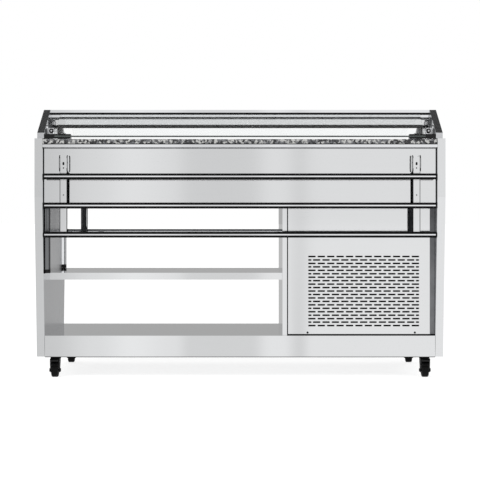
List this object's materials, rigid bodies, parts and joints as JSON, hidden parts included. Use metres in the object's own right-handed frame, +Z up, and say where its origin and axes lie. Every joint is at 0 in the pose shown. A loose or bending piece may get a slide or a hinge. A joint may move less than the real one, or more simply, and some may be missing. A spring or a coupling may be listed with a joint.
{
  "type": "refrigerated buffet table",
  "caption": "Stainless cold buffet table with a stone counter round an insulated pan well, a lifting glass canopy, fold-out tray slides, open shelves, a slotted machine bay and casters.",
  "frame": {"origin": "on the floor, under the middle of the counter", "axes": "+X to the right along the counter seen from the front, +Y to the back, +Z up"},
  "size_m": [1.524, 0.816, 1.014],
  "materials": {
    "stainless": "satin",
    "bright_steel": "polished",
    "aluminium": "satin",
    "black_aluminium": "satin",
    "granite": "polished",
    "glass": "gloss",
    "lens": "gloss",
    "foam": "matte",
    "copper": "satin",
    "black_plastic": "matte",
    "black_rubber": "matte",
    "dark_steel": "satin",
    "galvanised": "satin",
    "black_enamel": "satin",
    "pipe_plastic": "satin",
    "lever_red": "satin"
  },
  "bodies": {
    "cabinet": {"aprons": "stainless", "base_pan": "stainless", "caster_plates": "dark_steel", "column_guides": "aluminium", "compartment_divider": "stainless", "compressor": "black_enamel", "condenser": "black_aluminium", "control_box": "galvanised", "counter_frame": "bright_steel", "drain_pipe": "pipe_plastic", "evaporator_coil": "copper", "fan_motor": "black_enamel", "fan_shroud": "galvanised", "front_service_panel": "stainless", "granite_counter": "granite", "guide_tube_feet": "black_plastic", "guide_tubes": "bright_steel", "insulation": "foam", "left_end_panel": "stainless", "mid_shelf": "stainless", "pan_bars": "stainless", "panel_screws": "bright_steel", "power_inlet": "black_plastic", "rear_service_panel": "stainless", "refrigerant_lines": "black_rubber", "right_end_panel": "stainless", "side_liners": "stainless", "tank_floor": "stainless", "tray_brackets": "stainless", "unit_base": "galvanised", "well_liner": "stainless"},
    "canopy": {"canopy_left_side": "stainless", "canopy_right_side": "stainless", "ridge_rails": "aluminium", "sloped_glass": "glass", "glass_clamps": "black_plastic", "top_glass": "glass", "light_box": "stainless", "light_lens": "lens", "lift_columns": "bright_steel"},
    "front_tray": {"front_tray_tubes": "bright_steel", "front_tray_arms": "stainless"},
    "rear_tray": {"rear_tray_tubes": "bright_steel", "rear_tray_arms": "stainless"},
    "front_left_swivel": {"front_left_caster_fork": "dark_steel"},
    "front_left_wheel": {"front_left_caster_wheel": "black_rubber"},
    "front_right_swivel": {"front_right_caster_fork": "dark_steel"},
    "front_right_wheel": {"front_right_caster_wheel": "black_rubber"},
    "rear_left_swivel": {"rear_left_caster_fork": "dark_steel"},
    "rear_left_wheel": {"rear_left_caster_wheel": "black_rubber"},
    "rear_right_swivel": {"rear_right_caster_fork": "dark_steel"},
    "rear_right_wheel": {"rear_right_caster_wheel": "black_rubber"},
    "left_brake": {"left_brake_pedal": "black_plastic"},
    "left_knob": {"left_clamp_knob": "black_plastic"},
    "right_brake": {"right_brake_pedal": "black_plastic"},
    "right_knob": {"right_clamp_knob": "black_plastic"},
    "fan": {"fan_blades": "black_plastic"},
    "switch": {"power_switch": "black_plastic"},
    "thermostat": {"thermostat_knob": "black_plastic"},
    "drain_valve": {"drain_lever": "lever_red"}
  },
  "joints": [
    {"name": "canopy_lift", "type": "slide", "parent": "cabinet", "child": "canopy", "axis": [0, 0, 1], "range_m": [0, 0.33]},
    {"name": "front_tray_fold", "type": "hinge", "parent": "cabinet", "child": "front_tray", "pos_m": [0, -0.3814, 0.805], "axis": [-1, 0, 0], "range_deg": [0, 90]},
    {"name": "rear_tray_fold", "type": "hinge", "parent": "cabinet", "child": "rear_tray", "pos_m": [0, 0.3814, 0.805], "axis": [1, 0, 0], "range_deg": [0, 90]},
    {"name": "front_left_swivel_turn", "type": "hinge", "parent": "cabinet", "child": "front_left_swivel", "pos_m": [-0.697, -0.262, 0.07], "axis": [0, 0, 1], "continuous": true},
    {"name": "front_left_wheel_roll", "type": "hinge", "parent": "front_left_swivel", "child": "front_left_wheel", "pos_m": [-0.697, -0.282, 0.026], "axis": [1, 0, 0], "continuous": true},
    {"name": "front_right_swivel_turn", "type": "hinge", "parent": "cabinet", "child": "front_right_swivel", "pos_m": [0.697, -0.262, 0.07], "axis": [0, 0, 1], "continuous": true},
    {"name": "front_right_wheel_roll", "type": "hinge", "parent": "front_right_swivel", "child": "front_right_wheel", "pos_m": [0.697, -0.282, 0.026], "axis": [1, 0, 0], "continuous": true},
    {"name": "rear_left_swivel_turn", "type": "hinge", "parent": "cabinet", "child": "rear_left_swivel", "pos_m": [-0.697, 0.262, 0.07], "axis": [0, 0, 1], "continuous": true},
    {"name": "rear_left_wheel_roll", "type": "hinge", "parent": "rear_left_swivel", "child": "rear_left_wheel", "pos_m": [-0.697, 0.282, 0.026], "axis": [1, 0, 0], "continuous": true},
    {"name": "rear_right_swivel_turn", "type": "hinge", "parent": "cabinet", "child": "rear_right_swivel", "pos_m": [0.697, 0.262, 0.07], "axis": [0, 0, 1], "continuous": true},
    {"name": "rear_right_wheel_roll", "type": "hinge", "parent": "rear_right_swivel", "child": "rear_right_wheel", "pos_m": [0.697, 0.282, 0.026], "axis": [1, 0, 0], "continuous": true},
    {"name": "left_brake_press", "type": "hinge", "parent": "front_left_swivel", "child": "left_brake", "pos_m": [-0.697, -0.295, 0.0638], "axis": [1, 0, 0], "range_deg": [0, 12]},
    {"name": "left_knob_turn", "type": "hinge", "parent": "cabinet", "child": "left_knob", "pos_m": [-0.709, -0.298, 0.927], "axis": [0, -1, 0], "range_deg": [0, 180]},
    {"name": "right_brake_press", "type": "hinge", "parent": "front_right_swivel", "child": "right_brake", "pos_m": [0.697, -0.295, 0.0638], "axis": [1, 0, 0], "range_deg": [0, 12]},
    {"name": "right_knob_turn", "type": "hinge", "parent": "cabinet", "child": "right_knob", "pos_m": [0.709, -0.298, 0.927], "axis": [0, -1, 0], "range_deg": [0, 180]},
    {"name": "fan_spin", "type": "hinge", "parent": "cabinet", "child": "fan", "pos_m": [0.43, -0.142, 0.3055], "axis": [0, 1, 0], "continuous": true},
    {"name": "switch_rock", "type": "hinge", "parent": "cabinet", "child": "switch", "pos_m": [0.58, 0.2835, 0.55], "axis": [1, 0, 0], "range_deg": [-7, 7]},
    {"name": "thermostat_turn", "type": "hinge", "parent": "cabinet", "child": "thermostat", "pos_m": [0.645, 0.3, 0.55], "axis": [0, -1, 0], "range_deg": [0, 270]},
    {"name": "drain_valve_turn", "type": "hinge", "parent": "cabinet", "child": "drain_valve", "pos_m": [0.61, -0.033, 0.565], "axis": [0, 1, 0], "range_deg": [0, 90]}
  ]
}
